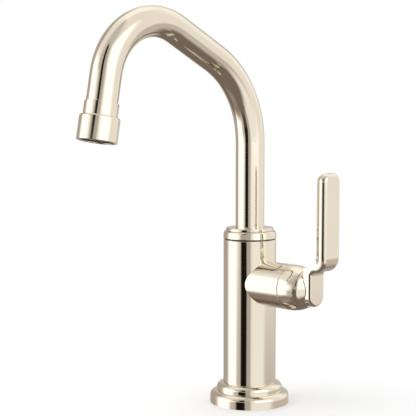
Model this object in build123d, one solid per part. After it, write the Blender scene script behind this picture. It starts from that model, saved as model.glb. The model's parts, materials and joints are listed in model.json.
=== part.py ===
from build123d import *
import math
import os

# Beverage faucet with a swivelling gooseneck spout and a quarter-turn side lever.
# Millimetres and degrees. Z is the column's axis, z = 0 is the deck, the spout reaches
# towards -Y and the lever's hub points towards +X.

# Clearances
run_fit = 0.08
thread_fit = 0.05
seat_gap = 0.05
curve_gap = 0.3
cut_margin = 1.0

# Gooseneck: a rise, a bend, a slope, a second bend and the drop to the nozzle
tube_radius = 11.1
tube_wall = 1.2
rise_length = 65.4
first_bend_radius = 70.5
first_bend_angle = 63.45
slope_length = 43.1
second_bend_radius = 45.9
second_bend_angle = 106.0

# Spout stem, its seals and its snap ring
stem_wall = 1.9
stem_foot_round = 0.6
stem_bore_step = 1.9
stem_end_gap = 2.6
tube_socket_depth = 12.4
seal_ring_thickness = 1.7
stem_seal_setback = 3.0
stem_seal_pitch = 4.8
stem_seal_count = 2
snap_ring_drop = 6.6
snap_ring_thickness = 1.2
snap_ring_depth = 1.1
snap_ring_opening_angle = 40.0

# Column, its side branch and the shadow groove at the branch's end
column_radius = 20.4
branch_height = 94.7
branch_end = 43.2
shadow_groove_depth = 0.55
shadow_groove_width = 2.0
column_foot_round = 0.4
column_top_round = 0.5
branch_edge_round = 0.25
spigot_length = 3.9
spigot_wall = 2.15
bonnet_root_wall = 3.05

# Water ways in the column
spout_socket_depth = 21.2
port_web = 1.9
shank_thread_depth = 17.0
chamber_radius = 9.0
chamber_top = 60.0
supply_seat_depth = 9.0
inlet_port_radius = 3.2
valve_floor = 8.0
valve_thread_start = 34.0
valve_thread_step = 2.9
water_gap = 1.1
outlet_port_radius = 2.3
outlet_port_setback = 2.6

# Collar and bead on the column's top
swivel_gap = 0.7
collar_overhang = 0.34
collar_lean = 0.6
collar_height = 5.9
collar_top_round = 1.5
collar_foot_round = 0.6
bead_inset = 2.24
bead_height = 2.5
bead_round = 0.9
bead_foot_round = 0.4
thrust_washer_inset = 0.9

# Base flange and gasket
flange_floor = 3.2
flange_hole_gap = 0.6
flange_ledge = 0.6
flange_band_height = 5.6
flange_lower_round = (5.35, 4.2)
flange_neck_rise = 2.4
flange_upper_round = (4.3, 3.7)
gasket_margin = 2.8
gasket_width = 5.2
gasket_height = 1.5

# Shank and what clamps the faucet to its deck
shank_radius = 15.9
shank_wall = 3.9
shank_spare = 18.0
deck_thickness = 30.0
washer_width = 12.1
washer_hole_gap = 0.4
rubber_washer_thickness = 3.0
steel_washer_thickness = 2.0
lock_nut_height = 9.0
lock_nut_wall = 4.6
lock_nut_chamfers = (1.2, 0.6)

# Supply tube, its bush and its fitting
supply_radius = 4.76
supply_wall = 1.36
supply_below_shank = 12.0
bush_height = 8.0
bush_flange_thickness = 1.6
bush_flange_inset = 0.8
fitting_wall = 3.7
fitting_hex_height = 8.0
fitting_thread_radius = 7.14
fitting_thread_length = 10.0
fitting_seat_depth = 7.0
fitting_chamfer = 0.8

# Nozzle, measured along the drop from the end of the second bend
ferrule_start = 20.0
ferrule_wall = 0.9
ferrule_visible_length = 9.3
ferrule_spigot_length = 4.0
ferrule_thread_step = 0.35
ferrule_tube_overlap = 1.3
ferrule_round = 0.35
housing_wall = 2.45
housing_shoulder_round = 1.7
housing_rim_round = 0.7
flow_washer_thickness = 1.4
flow_washer_width = 3.2
flow_screen_thickness = 0.4
flow_insert_length = 5.3
flow_lip_width = 1.5
flow_lip_thickness = 1.2
flow_hole_radius = 0.9
flow_hole_pitch = 2.6
flow_hole_rings = 3
flow_first_ring_holes = 6
mouth_wall = 1.85
mouth_depth = 5.6

# Quarter-turn headwork, measured along the hub's axis
handle_turn_angle = 90.0
stop_play_angle = 1.0
stop_lobe_angle = 50.0
stop_rib_height = 1.35
seat_seal_length = 2.6
seat_seal_width = 4.3
disc_radius = 7.87
disc_thickness = 3.0
disc_web_radius = 1.6
disc_rim_width = 1.8
disc_window_angle = 76.0
driver_thickness = 3.2
driver_key_width = 2.4
driver_key_height = 1.2
driver_key_inset = 1.0
headwork_wall = 0.95
headwork_window_width = 7.0
headwork_gasket_thickness = 0.6
headwork_gasket_inset = 0.6
headwork_hex_wall = 6.4
headwork_hex_length = 3.6
headwork_hex_chamfers = (0.3, 0.8)
headwork_neck_wall = 1.9
headwork_neck_length = 2.2
spindle_radius = 4.5
spindle_groove_depth = 1.15
spindle_seal_setback = 5.1
spindle_seal_pitch = 4.2
spindle_seal_count = 2
spindle_clip_thickness = 0.7
spindle_clip_width = 1.7
spindle_clip_depth = 0.6
spindle_clip_opening_angle = 60.0
spindle_flat_depth = 0.5
spindle_insertion = 7.1

# Bonnet and the gap behind the lever
bonnet_end_wall = 1.2
bonnet_clip_space = 0.55
bonnet_straight = 0.6
bonnet_taper = 2.7
bonnet_edge_round = 0.15
bonnet_wall = 2.0
bonnet_hole_gap = 1.1
glide_ring_width = 5.6
handle_gap = 0.3

# Lever handle
dome_shoulder_rise = 1.15
dome_shoulder_drop = 0.56
dome_shoulder_round = 4.5
dome_edge_round = 0.15
dome_depth = 8.1
dome_face_radius = 5.5
dome_face_round = 2.0
tab_stand = 10.0
tab_width = 16.2
tab_drop = 12.3
tab_back_inset = 3.5
tab_chamfer_depth = 1.65
tab_chamfer_angle = 28.0
tab_front_round = 1.3
tab_side_round = 1.5
tab_back_round = 1.0
tab_root_fillet = 1.4
grip_offset = 14.2
grip_thickness = 10.0
grip_width = 20.3
grip_knuckle_depth = 4.1
grip_chamfer_width = 2.2
grip_back_width = 13.8
grip_front_round = 3.2
grip_knuckle_round = 4.0
grip_back_round = 3.0
grip_rise = 87.4
grip_top_round = 6.8
ledge_rise = 14.3
ledge_fillet = 3.2
outer_bend_radius = 10.8
neck_rise = 17.3
neck_round = 1.3
inner_bend_radius = 9.0
flare_start_rise = 9.5
flare_end_rise = 27.0
set_screw_radius = 2.0
set_screw_setback = 3.6
set_screw_length = 7.0
set_screw_key_flats = 2.0
set_screw_key_depth = 2.2

# Valve places along the hub's axis, from the column's axis outwards
fixed_disc_start = valve_floor + seat_seal_length
moving_disc_start = fixed_disc_start + disc_thickness + seat_gap
driver_start = moving_disc_start + disc_thickness + seat_gap
driver_end = driver_start + driver_thickness
bonnet_start = branch_end + shadow_groove_width
spigot_end = bonnet_start + spigot_length
headwork_hex_start = spigot_end + headwork_gasket_thickness
headwork_hex_end = headwork_hex_start + headwork_hex_length
headwork_end = headwork_hex_end + headwork_neck_length
spindle_clip_start = headwork_end + seat_gap
spindle_clip_end = spindle_clip_start + spindle_clip_thickness
bonnet_inside_end = spindle_clip_end + bonnet_clip_space
bonnet_end = bonnet_inside_end + bonnet_end_wall
dome_start = bonnet_end + handle_gap
spindle_tip = dome_start + spindle_insertion
tab_face = dome_start + tab_stand
tab_chamfer_width = tab_chamfer_depth * math.tan(math.radians(tab_chamfer_angle))
grip_face = tab_face + grip_offset

# Valve radii, from the discs outwards
headwork_bore_radius = disc_radius + run_fit
headwork_radius = headwork_bore_radius + headwork_wall
valve_cavity_radius = headwork_radius + water_gap
valve_thread_radius = headwork_radius + valve_thread_step
spigot_radius = valve_thread_radius + thread_fit + spigot_wall
branch_radius = spigot_radius + thread_fit + bonnet_root_wall
dome_radius = branch_radius - bonnet_taper

# Heights, from the branch upwards
socket_floor = branch_height + valve_cavity_radius + port_web
column_top = socket_floor + spout_socket_depth
collar_foot = column_top + swivel_gap
collar_top = collar_foot + collar_height
stem_foot = socket_floor + stem_end_gap
stem_top = collar_top + bead_height
tube_foot = stem_top - tube_socket_depth
rise_top = stem_top + rise_length
snap_ring_height = column_top - snap_ring_drop

# Spout radii, from the tube outwards
tube_bore_radius = tube_radius - tube_wall
stem_bore_radius = tube_bore_radius - stem_bore_step
stem_radius = tube_radius + seat_gap + stem_wall
socket_radius = stem_radius + run_fit
collar_radius = column_radius + collar_overhang
bead_radius = collar_radius - bead_inset
thrust_washer_radius = column_radius - thrust_washer_inset

# Flange, from the column outwards and from the deck upwards
flange_top_radius = column_radius + flange_ledge
flange_neck_radius = flange_top_radius + flange_upper_round[0]
flange_radius = flange_neck_radius + flange_lower_round[0]
flange_step_height = flange_band_height + flange_lower_round[1]
flange_shoulder_height = flange_step_height + flange_neck_rise
flange_height = flange_shoulder_height + flange_upper_round[1]
gasket_outer_radius = flange_radius - gasket_margin
gasket_inner_radius = gasket_outer_radius - gasket_width

# Below the deck
rubber_washer_foot = -deck_thickness - rubber_washer_thickness
steel_washer_foot = rubber_washer_foot - steel_washer_thickness
lock_nut_foot = steel_washer_foot - lock_nut_height
shank_foot = lock_nut_foot - shank_spare
shank_top = flange_floor + shank_thread_depth
shank_bore_radius = shank_radius - shank_wall
washer_radius = shank_radius + washer_width
supply_top = chamber_top + supply_seat_depth
supply_foot = shank_foot - supply_below_shank
supply_bore_radius = supply_radius - supply_wall

# Nozzle radii, and its places along the drop
ferrule_radius = tube_radius + seat_gap + ferrule_wall
housing_thread_radius = ferrule_radius - ferrule_thread_step
housing_radius = housing_thread_radius + housing_wall
mouth_radius = housing_radius - mouth_wall
flow_lip_radius = housing_thread_radius - flow_lip_width
insert_radius = housing_thread_radius - seat_gap
ferrule_shoulder = ferrule_start + ferrule_visible_length
ferrule_end = ferrule_shoulder + ferrule_spigot_length
tube_end = ferrule_shoulder + ferrule_tube_overlap
flow_washer_end = ferrule_end + flow_washer_thickness
flow_screen_end = flow_washer_end + flow_screen_thickness
flow_lip_start = flow_screen_end + flow_insert_length
mouth_floor = flow_lip_start + flow_lip_thickness
housing_end = mouth_floor + mouth_depth

# Directions
full_turn = 360.0
half_turn = 180.0
quarter_turn = 90.0
hexagon_sides = 6
nut_chamfer_slope = 1.6
hub_frame = Plane(origin=(0, 0, branch_height), x_dir=(0, 1, 0), z_dir=(1, 0, 0))
spout_plane = Plane(origin=(0, 0, 0), x_dir=(0, -1, 0), z_dir=(-1, 0, 0))


def turned(*corners):
    """Solid of revolution about Z. A corner is (radius, height) or (radius, height, rounding)."""
    section = make_face(Polyline(*[(corner[0], corner[1]) for corner in corners], close=True))
    for corner in corners:
        if len(corner) == 3:
            vertex = section.vertices().sort_by_distance((corner[0], corner[1]))[0]
            section = fillet(vertex, corner[2])
    return revolve(Plane.XZ * section, Axis.Z)


def rod(radius, low, high):
    """Solid cylinder about Z between two heights."""
    return Pos(0, 0, low) * Cylinder(radius, high - low, align=(Align.CENTER, Align.CENTER, Align.MIN))


def ring(outer, inner, low, high):
    """Plain ring about Z between two heights."""
    return rod(outer, low, high) - rod(inner, low - cut_margin, high + cut_margin)


def hexagon(flats, low, high):
    """Hexagonal prism about Z, given its size across the flats."""
    outline = RegularPolygon(flats / 2, hexagon_sides, major_radius=False)
    return extrude(Pos(0, 0, low) * outline, high - low)


def hexagon_nut(flats, low, high, low_chamfer, high_chamfer):
    """Hexagonal prism whose corners are turned off at both ends."""
    corner_radius = flats / 2 / math.cos(math.radians(half_turn / hexagon_sides))
    crown = turned(
        (0, low),
        (corner_radius - nut_chamfer_slope * low_chamfer, low),
        (corner_radius, low + low_chamfer),
        (corner_radius, high - high_chamfer),
        (corner_radius - nut_chamfer_slope * high_chamfer, high),
        (0, high),
    )
    return hexagon(flats, low, high) & crown


def seal_ring(groove_radius, bore_radius, height):
    """Round-section seal that fills a groove and stops short of the bore it seals."""
    section = (bore_radius - groove_radius) / 2 - seat_gap
    return Pos(0, 0, height) * Torus((bore_radius + groove_radius) / 2, section)


def seal_groove(shaft_radius, groove_radius, height, width):
    """Square groove cut round a shaft."""
    return ring(shaft_radius + cut_margin, groove_radius, height - width / 2, height + width / 2)


def sector(inner, outer, middle, width, low, high):
    """Part of a ring: width degrees about the middle angle."""
    start = middle - width / 2
    rim = CenterArc((0, 0), outer, start, width)
    hub = CenterArc((0, 0), inner, start, width)
    outline = Curve() + [rim, hub, Line(rim @ 0, hub @ 0), Line(rim @ 1, hub @ 1)]
    return extrude(Pos(0, 0, low) * make_face(outline), high - low)


def make_flange():
    """Flange with two rounded steps, a counterbore for the column's foot and a groove for the gasket."""
    lower_round = EllipticalCenterArc((flange_neck_radius, flange_band_height), *flange_lower_round,
                                      arc_size=quarter_turn)
    upper_round = EllipticalCenterArc((flange_top_radius, flange_shoulder_height), *flange_upper_round,
                                      arc_size=quarter_turn)
    outside = Polyline((shank_radius + flange_hole_gap, 0), (flange_radius, 0),
                       (flange_radius, flange_band_height))
    neck = Line((flange_neck_radius, flange_step_height), (flange_neck_radius, flange_shoulder_height))
    inside = Polyline(
        (flange_top_radius, flange_height),
        (column_radius + run_fit, flange_height),
        (column_radius + run_fit, flange_floor),
        (shank_radius + flange_hole_gap, flange_floor),
        (shank_radius + flange_hole_gap, 0),
    )
    section = make_face(Curve() + [outside, lower_round, neck, upper_round, inside])
    groove = ring(gasket_outer_radius + seat_gap, gasket_inner_radius - seat_gap, -cut_margin, gasket_height)
    return revolve(Plane.XZ * section, Axis.Z) - groove


def make_gasket():
    """Flat rubber gasket under the flange."""
    return ring(gasket_outer_radius, gasket_inner_radius, 0, gasket_height - seat_gap)


def make_body():
    """Column with its side branch, bored for the shank, the supply, the headwork and the spout stem."""
    column = turned(
        (0, flange_floor),
        (column_radius, flange_floor, column_foot_round),
        (column_radius, column_top, column_top_round),
        (0, column_top),
    )
    groove_radius = branch_radius - shadow_groove_depth
    branch = hub_frame * turned(
        (0, 0),
        (branch_radius, 0),
        (branch_radius, branch_end, branch_edge_round),
        (groove_radius, branch_end),
        (groove_radius, bonnet_start),
        (spigot_radius, bonnet_start),
        (spigot_radius, spigot_end),
        (0, spigot_end),
    )
    ring_groove_radius = socket_radius + snap_ring_depth + curve_gap
    snap_ring_end = snap_ring_height + snap_ring_thickness
    body = column + branch
    body -= rod(socket_radius, socket_floor, column_top + cut_margin)
    body -= rod(ring_groove_radius, snap_ring_height - run_fit, snap_ring_end + run_fit)
    body -= rod(shank_radius + thread_fit, flange_floor - cut_margin, shank_top)
    body -= rod(chamber_radius, shank_top - cut_margin, chamber_top)
    body -= rod(supply_radius + thread_fit, chamber_top - cut_margin, supply_top)
    body -= rod(inlet_port_radius, supply_top - cut_margin, branch_height)
    body -= hub_frame * rod(inlet_port_radius, 0, valve_floor + cut_margin)
    body -= hub_frame * rod(valve_cavity_radius, valve_floor, spigot_end + cut_margin)
    body -= hub_frame * rod(valve_thread_radius + thread_fit, valve_thread_start, spigot_end + cut_margin)
    outlet = rod(outlet_port_radius, branch_height, socket_floor + cut_margin)
    body -= Pos(valve_floor + outlet_port_setback, 0, 0) * outlet
    return body


def make_shank():
    """Hollow shank screwed into the column's foot."""
    return ring(shank_radius, shank_bore_radius, shank_foot, shank_top - seat_gap)


def make_rubber_washer():
    """Rubber washer that presses up on the deck's underside."""
    return ring(washer_radius, shank_radius + washer_hole_gap, rubber_washer_foot, -deck_thickness)


def make_steel_washer():
    """Steel washer between the rubber one and the nut."""
    return ring(washer_radius, shank_radius + washer_hole_gap, steel_washer_foot, rubber_washer_foot)


def make_lock_nut():
    """Hexagonal lock nut with chamfered corners."""
    flats = 2 * (shank_radius + lock_nut_wall)
    nut = hexagon_nut(flats, lock_nut_foot, steel_washer_foot, *lock_nut_chamfers)
    return nut - rod(shank_radius + thread_fit, lock_nut_foot - cut_margin, steel_washer_foot + cut_margin)


def make_supply_tube():
    """Straight supply tube from the column down through the shank."""
    return ring(supply_radius, supply_bore_radius, supply_foot, supply_top - seat_gap)


def make_tube_bush():
    """Flanged bush that centres the supply tube in the shank's mouth."""
    bore_radius = supply_radius + seat_gap
    bush_foot = shank_foot - bush_flange_thickness
    plug = ring(shank_bore_radius - seat_gap, bore_radius, bush_foot, shank_foot + bush_height)
    flange = ring(shank_radius - bush_flange_inset, bore_radius, bush_foot, shank_foot - seat_gap)
    return plug + flange


def make_inlet_fitting():
    """Male fitting on the supply tube's end, with a hexagon and a chamfered thread."""
    hex_top = supply_foot + fitting_seat_depth
    hex_foot = hex_top - fitting_hex_height
    thread_foot = hex_foot - fitting_thread_length
    nut = hexagon_nut(2 * (supply_radius + fitting_wall), hex_foot, hex_top, fitting_chamfer, fitting_chamfer)
    nose = turned(
        (0, thread_foot),
        (fitting_thread_radius - fitting_chamfer, thread_foot),
        (fitting_thread_radius, thread_foot + fitting_chamfer),
        (fitting_thread_radius, hex_foot + cut_margin),
        (0, hex_foot + cut_margin),
    )
    body = nut + nose - rod(supply_radius + seat_gap, supply_foot - seat_gap, hex_top + cut_margin)
    return body - rod(supply_bore_radius, thread_foot - cut_margin, supply_foot + cut_margin)


def make_thrust_washer():
    """Low-friction washer between the column's top and the collar."""
    return ring(thrust_washer_radius, stem_radius + run_fit, column_top, collar_foot - seat_gap)


def make_collar():
    """Barrel-edged collar ring that turns with the spout and leans in towards its top."""
    return turned(
        (stem_radius + seat_gap, collar_foot),
        (collar_radius, collar_foot, collar_foot_round),
        (collar_radius - collar_lean, collar_top, collar_top_round),
        (stem_radius + seat_gap, collar_top),
    )


def make_spout_stem():
    """Turned stem: a bead on top, a socket for the tube and grooves for seals and snap ring."""
    stem = turned(
        (stem_bore_radius, stem_foot),
        (stem_radius, stem_foot, stem_foot_round),
        (stem_radius, collar_top),
        (bead_radius, collar_top, bead_foot_round),
        (bead_radius, stem_top, bead_round),
        (tube_radius + seat_gap, stem_top),
        (tube_radius + seat_gap, tube_foot),
        (stem_bore_radius, tube_foot),
    )
    groove_radius = stem_radius - seal_ring_thickness
    for number in range(stem_seal_count):
        height = stem_foot + stem_seal_setback + number * stem_seal_pitch
        stem -= seal_groove(stem_radius, groove_radius, height, seal_ring_thickness + 2 * run_fit)
    ring_middle = snap_ring_height + snap_ring_thickness / 2
    ring_groove_radius = stem_radius - snap_ring_depth - run_fit
    return stem - seal_groove(stem_radius, ring_groove_radius, ring_middle, snap_ring_thickness + 2 * run_fit)


def make_spout_seals():
    """Seal rings in the stem's grooves."""
    groove_radius = stem_radius - seal_ring_thickness
    first = stem_foot + stem_seal_setback
    return [seal_ring(groove_radius, socket_radius, first + number * stem_seal_pitch)
            for number in range(stem_seal_count)]


def make_snap_ring():
    """Open spring ring that locks the stem into the column."""
    return sector(stem_radius - snap_ring_depth, socket_radius + snap_ring_depth, half_turn,
                  full_turn - snap_ring_opening_angle,
                  snap_ring_height, snap_ring_height + snap_ring_thickness)


def spout_lines(drop_length):
    """Centre line of the gooseneck, from the stem's socket to a length down the drop."""
    rise = Line((0, tube_foot + seat_gap), (0, rise_top))
    first_bend = JernArc(rise @ 1, rise % 1, first_bend_radius, -first_bend_angle)
    slope = Line(first_bend @ 1, first_bend @ 1 + (first_bend % 1) * slope_length)
    second_bend = JernArc(slope @ 1, slope % 1, second_bend_radius, -second_bend_angle)
    drop = Line(second_bend @ 1, second_bend @ 1 + (second_bend % 1) * drop_length)
    return [rise, first_bend, slope, second_bend, drop]


def nozzle_frame():
    """Frame at the end of the second bend, with its Z down the drop."""
    drop = spout_lines(tube_end)[-1]
    start = spout_plane.from_local_coords(drop @ 0)
    finish = spout_plane.from_local_coords(drop @ 1)
    return Plane(origin=start, x_dir=(1, 0, 0), z_dir=finish - start)


def make_spout_tube():
    """Bent tube of even wall from the stem's socket to the ferrule's seat."""
    path = spout_plane * (Curve() + spout_lines(tube_end))
    mouth = Pos(0, 0, tube_foot + seat_gap) * (Circle(tube_radius) - Circle(tube_bore_radius))
    return sweep(mouth, path)


def make_ferrule():
    """Ferrule on the tube's end, with a threaded spigot for the housing."""
    spigot_outside = housing_thread_radius - thread_fit
    seat_radius = tube_radius + seat_gap
    return nozzle_frame() * turned(
        (seat_radius, ferrule_start),
        (ferrule_radius, ferrule_start, ferrule_round),
        (ferrule_radius, ferrule_shoulder),
        (spigot_outside, ferrule_shoulder),
        (spigot_outside, ferrule_end),
        (tube_bore_radius, ferrule_end),
        (tube_bore_radius, tube_end + seat_gap),
        (seat_radius, tube_end + seat_gap),
    )


def make_housing():
    """Nozzle housing with a rounded shoulder, a lip that carries the insert and a deep mouth."""
    shoulder = ferrule_shoulder + seat_gap
    return nozzle_frame() * turned(
        (housing_thread_radius, shoulder),
        (housing_radius, shoulder, housing_shoulder_round),
        (housing_radius, housing_end, housing_rim_round),
        (mouth_radius, housing_end, housing_rim_round),
        (mouth_radius, mouth_floor),
        (flow_lip_radius, mouth_floor),
        (flow_lip_radius, flow_lip_start),
        (housing_thread_radius, flow_lip_start),
    )


def make_flow_washer():
    """Rubber washer between the ferrule and the filter screen."""
    inner = insert_radius - flow_washer_width
    return nozzle_frame() * ring(insert_radius, inner, ferrule_end, flow_washer_end)


def make_flow_screen():
    """Thin filter disc on top of the flow insert."""
    return nozzle_frame() * rod(insert_radius, flow_washer_end, flow_screen_end)


def make_flow_insert():
    """Flow straightener: a round block with rings of small holes."""
    block = rod(insert_radius, flow_screen_end, flow_lip_start)
    block += rod(flow_lip_radius - seat_gap, flow_lip_start - cut_margin, mouth_floor)
    places = [Pos(0, 0, 0)]
    for ring_number in range(1, flow_hole_rings + 1):
        places += list(PolarLocations(ring_number * flow_hole_pitch, flow_first_ring_holes * ring_number))
    drill = rod(flow_hole_radius, flow_screen_end - cut_margin, mouth_floor + cut_margin)
    return nozzle_frame() * (block - [place * drill for place in places])


def make_seat_seal():
    """Rubber seat seal between the column's valve floor and the fixed disc."""
    inner = disc_radius - seat_seal_width
    return hub_frame * ring(disc_radius, inner, valve_floor, fixed_disc_start)


def make_fixed_disc():
    """Ceramic disc with two closed windows, held still in the headwork."""
    blank = rod(disc_radius, fixed_disc_start, fixed_disc_start + disc_thickness)
    for angle in (0, half_turn):
        blank -= sector(disc_web_radius, disc_radius - disc_rim_width, angle, disc_window_angle,
                        fixed_disc_start - cut_margin, moving_disc_start + cut_margin)
    return hub_frame * blank


def driver_key(clearance):
    """Bar across the moving disc's back, where the spindle's key engages."""
    depth = driver_key_height + clearance
    bar = Pos(0, 0, driver_start - depth / 2) * Box(2 * disc_radius, driver_key_width + 2 * clearance, depth)
    return bar & rod(disc_radius - driver_key_inset + clearance, driver_start - depth, driver_start)


def make_moving_disc():
    """Bow-tie ceramic disc with a slot for the spindle's key. It shuts the windows at rest."""
    blank = rod(disc_radius, moving_disc_start, moving_disc_start + disc_thickness)
    for angle in (quarter_turn, quarter_turn + half_turn):
        blank -= sector(disc_web_radius, disc_radius + cut_margin, angle, disc_window_angle,
                        moving_disc_start - cut_margin, driver_start + cut_margin)
    return hub_frame * (blank - driver_key(seat_gap))


def make_spindle():
    """Spindle with driver lobes, key, seal grooves, clip groove and flatted end."""
    spindle = rod(spindle_radius, driver_start, spindle_tip)
    spindle += rod(headwork_bore_radius - stop_rib_height - run_fit, driver_start, driver_end)
    for angle in (0, half_turn):
        spindle += sector(spindle_radius - cut_margin, headwork_bore_radius - run_fit, angle, stop_lobe_angle,
                          driver_start, driver_end)
    spindle += driver_key(0)
    groove_radius = spindle_radius - spindle_groove_depth
    for number in range(spindle_seal_count):
        place = driver_end + spindle_seal_setback + number * spindle_seal_pitch
        spindle -= seal_groove(spindle_radius, groove_radius, place, spindle_groove_depth + 2 * run_fit)
    clip_middle = (spindle_clip_start + spindle_clip_end) / 2
    spindle -= seal_groove(spindle_radius, spindle_radius - spindle_clip_depth, clip_middle,
                           spindle_clip_thickness + 2 * seat_gap)
    flat_length = spindle_tip - dome_start
    flat = Box(2 * spindle_radius, spindle_radius, flat_length)
    spindle -= Pos(0, spindle_flat_depth - 1.5 * spindle_radius, dome_start + flat_length / 2) * flat
    return hub_frame * spindle


def make_spindle_seals():
    """Seal rings in the spindle's grooves."""
    groove_radius = spindle_radius - spindle_groove_depth
    first = driver_end + spindle_seal_setback
    bore_radius = spindle_radius + run_fit
    return [hub_frame * seal_ring(groove_radius, bore_radius, first + number * spindle_seal_pitch)
            for number in range(spindle_seal_count)]


def make_spindle_clip():
    """Open clip that keeps the spindle in the headwork."""
    inner = spindle_radius - spindle_clip_depth + seat_gap
    return hub_frame * sector(inner, spindle_radius + spindle_clip_width, quarter_turn,
                              full_turn - spindle_clip_opening_angle, spindle_clip_start, spindle_clip_end)


def make_headwork():
    """Brass headwork: disc chamber with side windows and stop ribs, thread, hexagon and neck."""
    chamber_end = driver_end + seat_gap
    shell = rod(headwork_radius, valve_floor + seat_gap, valve_thread_start + cut_margin)
    shell += rod(valve_thread_radius, valve_thread_start + seat_gap, headwork_hex_start)
    shell += hexagon_nut(2 * (spindle_radius + headwork_hex_wall), headwork_hex_start, headwork_hex_end,
                         *headwork_hex_chamfers)
    shell += rod(spindle_radius + headwork_neck_wall, headwork_hex_end - cut_margin, headwork_end)
    shell -= rod(headwork_bore_radius, valve_floor, chamber_end)
    shell -= rod(spindle_radius + run_fit, driver_end, headwork_end + cut_margin)
    window_length = chamber_end - moving_disc_start
    window = Box(2 * (headwork_radius + cut_margin), headwork_window_width, window_length)
    shell -= Pos(0, 0, moving_disc_start + window_length / 2) * window
    rib_angle = half_turn - stop_lobe_angle - handle_turn_angle - 2 * stop_play_angle
    rib_middle = stop_lobe_angle / 2 + handle_turn_angle + stop_play_angle + rib_angle / 2
    for angle in (rib_middle, rib_middle + half_turn):
        shell += sector(headwork_bore_radius - stop_rib_height, headwork_radius, angle, rib_angle,
                        driver_start, chamber_end)
    return hub_frame * shell


def make_headwork_gasket():
    """Fibre gasket between the spigot's face and the headwork's hexagon."""
    return hub_frame * ring(spigot_radius - headwork_gasket_inset, valve_thread_radius + seat_gap, spigot_end,
                            headwork_hex_start)


def make_bonnet():
    """Hollow bonnet that screws on the spigot and is crowned in one long arc down to the lever."""
    start = bonnet_start + seat_gap
    crown_start = bonnet_start + bonnet_straight
    root_radius = spigot_radius + thread_fit
    tip_radius = dome_radius - bonnet_wall
    hole_radius = spindle_radius + bonnet_hole_gap
    crown = TangentArc((branch_radius, crown_start), (dome_radius, bonnet_end), tangent=(0, 1))
    rest = Polyline(
        crown @ 1,
        (hole_radius, bonnet_end),
        (hole_radius, bonnet_inside_end),
        (tip_radius, bonnet_inside_end),
        (root_radius, bonnet_inside_end - (root_radius - tip_radius)),
        (root_radius, start),
        (branch_radius, start),
        crown @ 0,
    )
    section = make_face(Curve() + [crown, rest])
    outer_corners = [section.vertices().sort_by_distance(place)[0]
                     for place in ((branch_radius, start), (dome_radius, bonnet_end))]
    section = fillet(outer_corners, bonnet_edge_round)
    return hub_frame * revolve(Plane.XZ * section, Axis.Z)


def make_glide_ring():
    """Thin ring in the gap between the bonnet and the lever."""
    inner = spindle_radius + run_fit
    return hub_frame * ring(inner + glide_ring_width, inner, bonnet_end, dome_start - seat_gap)


def half_section(half_width, chamfer, back_corner, roundings):
    """Half of a bar's section, front on X = 0, with a chamfered side. The chamfer is (depth, width)."""
    side = FilletPolyline(
        (0, 0),
        (0, half_width - chamfer[1]),
        (-chamfer[0], half_width),
        back_corner,
        (back_corner[0], 0),
        radius=roundings,
    )
    return make_face(Curve() + [side, Line(side @ 1, side @ 0)])


def grip_half_section():
    """Half of the grip's section, which narrows towards its back."""
    return half_section(grip_width / 2, (grip_knuckle_depth, grip_chamfer_width),
                        (-grip_thickness, grip_back_width / 2),
                        [grip_front_round, grip_knuckle_round, grip_back_round])


def tab_half_section():
    """Half of the tab's section, as deep as the tab stands on the bonnet's end."""
    return half_section(tab_width / 2, (tab_chamfer_depth, tab_chamfer_width), (-tab_stand, tab_width / 2),
                        [tab_front_round, tab_side_round, tab_back_round])


def make_grip_end():
    """Upper end of the grip: the side's shape carried round both corners and over the top."""
    corner_place = grip_width / 2 - grip_top_round
    corner_height = branch_height + grip_rise - grip_top_round
    beyond = Pos(-grip_thickness / 2, corner_place + grip_width / 2) * Rectangle(2 * grip_thickness, grip_width)
    rim = Pos(grip_face, 0, corner_height) * (grip_half_section() & beyond)
    corner_axis = Axis((0, corner_place, corner_height), (1, 0, 0))
    corner = revolve(rim, corner_axis, revolution_arc=quarter_turn)
    top = extrude(rim.rotate(corner_axis, quarter_turn), amount=2 * corner_place, dir=(0, -1, 0))
    return corner + top + mirror(corner, Plane.XZ)


def whole_section(half, place, height):
    """Whole section from its half, with its front at a place along the hub's axis and a height."""
    return Pos(place, 0, height) * (half + mirror(half, Plane.XZ))


def make_swept_bar():
    """Grip, outward bend and ledge: the grip's section narrows to the tab's as it goes round both bends."""
    corner_height = branch_height + grip_rise - grip_top_round
    flare_top = branch_height + flare_end_rise
    flare_foot = branch_height + flare_start_rise
    ledge = branch_height + ledge_rise
    grip = extrude(whole_section(grip_half_section(), grip_face, flare_top), corner_height - flare_top)
    path = Plane.XZ * FilletPolyline((grip_face, flare_top), (grip_face, ledge), (tab_face, ledge),
                                     (tab_face, flare_foot), radius=[outer_bend_radius, ledge_fillet])
    sections = [whole_section(grip_half_section(), grip_face, flare_top),
                whole_section(tab_half_section(), tab_face, flare_foot)]
    return grip + sweep(sections, path, multisection=True)


def make_tab():
    """Flat tab on the dome's face: its section carried down and round the foot."""
    foot_centre = branch_height - tab_drop + tab_width / 2
    straight = branch_height + flare_start_rise - foot_centre
    half = tab_half_section()
    plate = extrude(whole_section(half, tab_face, foot_centre), straight)
    foot_axis = Axis((0, 0, foot_centre), (-1, 0, 0))
    return plate + revolve(Pos(tab_face, 0, foot_centre) * half, foot_axis, revolution_arc=half_turn)


def make_back_limits():
    """Block with the back of the lever's side outline: tab, neck, inner bend and grip."""
    top = branch_height + grip_rise + cut_margin
    neck = branch_height + neck_rise
    low = branch_height - tab_drop - cut_margin
    tab_back = dome_start + tab_back_inset
    grip_back = grip_face - grip_thickness
    back = FilletPolyline((tab_back, low), (tab_back, neck), (grip_back, neck), (grip_back, top),
                          radius=[neck_round, inner_bend_radius])
    beyond = grip_face + cut_margin
    front = Polyline(back @ 1, (beyond, top), (beyond, low), back @ 0)
    return extrude(Plane.XZ * make_face(Curve() + [back, front]), grip_width, both=True)


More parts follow.
